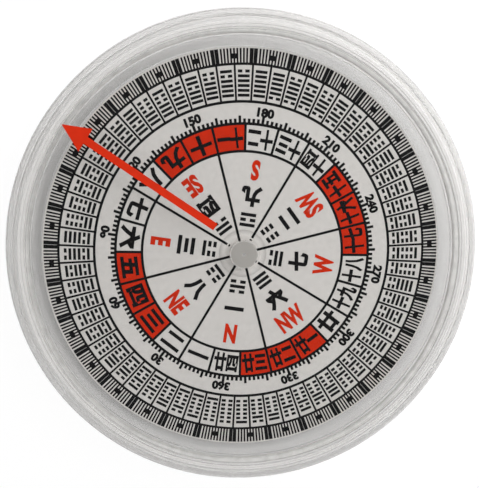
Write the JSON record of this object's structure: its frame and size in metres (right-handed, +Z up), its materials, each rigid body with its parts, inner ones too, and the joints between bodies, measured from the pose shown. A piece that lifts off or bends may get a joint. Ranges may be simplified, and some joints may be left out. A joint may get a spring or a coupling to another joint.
{
  "type": "feng shui compass",
  "caption": "Round pocket luopan: a printed magnetic card turns freely on a needle inside a clear stepped case with a flat cover.",
  "frame": {"origin": "middle of the case's underside, on the plane that the foot ring rests on", "axes": "+Z up through the needle and the cover, +Y towards the top of the picture"},
  "size_m": [0.075, 0.075, 0.0143],
  "materials": {
    "clear_acrylic": "polished clear acrylic",
    "cover_acrylic": "polished clear acrylic, fine scratches",
    "silicone": "translucent, matt",
    "red_film": "flat red film",
    "printed_aluminium": "satin silver with black and red print",
    "white_moulding": "moulded, satin",
    "turned_aluminium": "fine concentric turning marks",
    "ruby": "polished",
    "hardened_steel": "ground",
    "magnet_steel": "dark, matt",
    "turned_brass": "turned"
  },
  "bodies": {
    "housing": {"base_shell": "clear_acrylic", "cover_lens": "cover_acrylic", "bezel_ring": "clear_acrylic", "seal_gasket": "silicone", "direction_arrow": "red_film", "pivot_pedestal": "turned_brass", "pivot_needle": "hardened_steel"},
    "card": {"hub_cap": "turned_aluminium", "jewel_cup": "ruby", "dial_face": "printed_aluminium", "card_disc": "white_moulding", "magnet_carrier": "white_moulding", "magnet_left": "magnet_steel", "magnet_right": "magnet_steel", "clamp_washer": "hardened_steel", "balance_weight": "turned_brass"}
  },
  "joints": [
    {"name": "card_spin", "type": "hinge", "parent": "housing", "child": "card", "pos_m": [0, 0, 0.0096], "axis": [0, 0, 1], "continuous": true}
  ]
}
